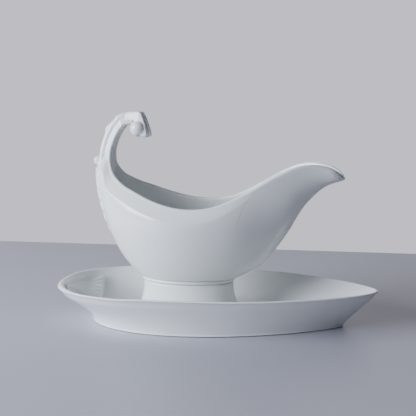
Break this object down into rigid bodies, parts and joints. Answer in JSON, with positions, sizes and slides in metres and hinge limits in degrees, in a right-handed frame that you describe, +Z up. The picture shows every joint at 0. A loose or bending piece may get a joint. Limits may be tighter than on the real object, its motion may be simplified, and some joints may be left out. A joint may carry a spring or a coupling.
{
  "type": "gravy boat",
  "caption": "Footed porcelain gravy boat with a raised spout and swan-neck handle, loose on a pointed oval stand with a shell relief.",
  "frame": {"origin": "middle of the stand's bounding box, on the table", "axes": "+X along the length towards the spout, +Y to the far side, +Z up"},
  "size_m": [0.2401, 0.13, 0.1564],
  "materials": {
    "glazed_porcelain": "gloss white glaze",
    "biscuit": "matt unglazed porcelain"
  },
  "bodies": {
    "stand": {"dish": "glazed_porcelain", "shell": "glazed_porcelain", "stand_foot_rim": "biscuit"},
    "boat": {"bowl": "glazed_porcelain", "pedestal_foot": "glazed_porcelain", "boat_foot_rim": "biscuit", "foot_collar": "glazed_porcelain", "handle": "glazed_porcelain", "handle_buds": "glazed_porcelain", "scroll_boss": "glazed_porcelain", "tip_leaf": "glazed_porcelain", "rear_leaf": "glazed_porcelain"}
  },
  "joints": [
    {"name": "boat_lift", "type": "slide", "parent": "stand", "child": "boat", "axis": [0, 0, 1], "range_m": [0, 0.12]}
  ]
}
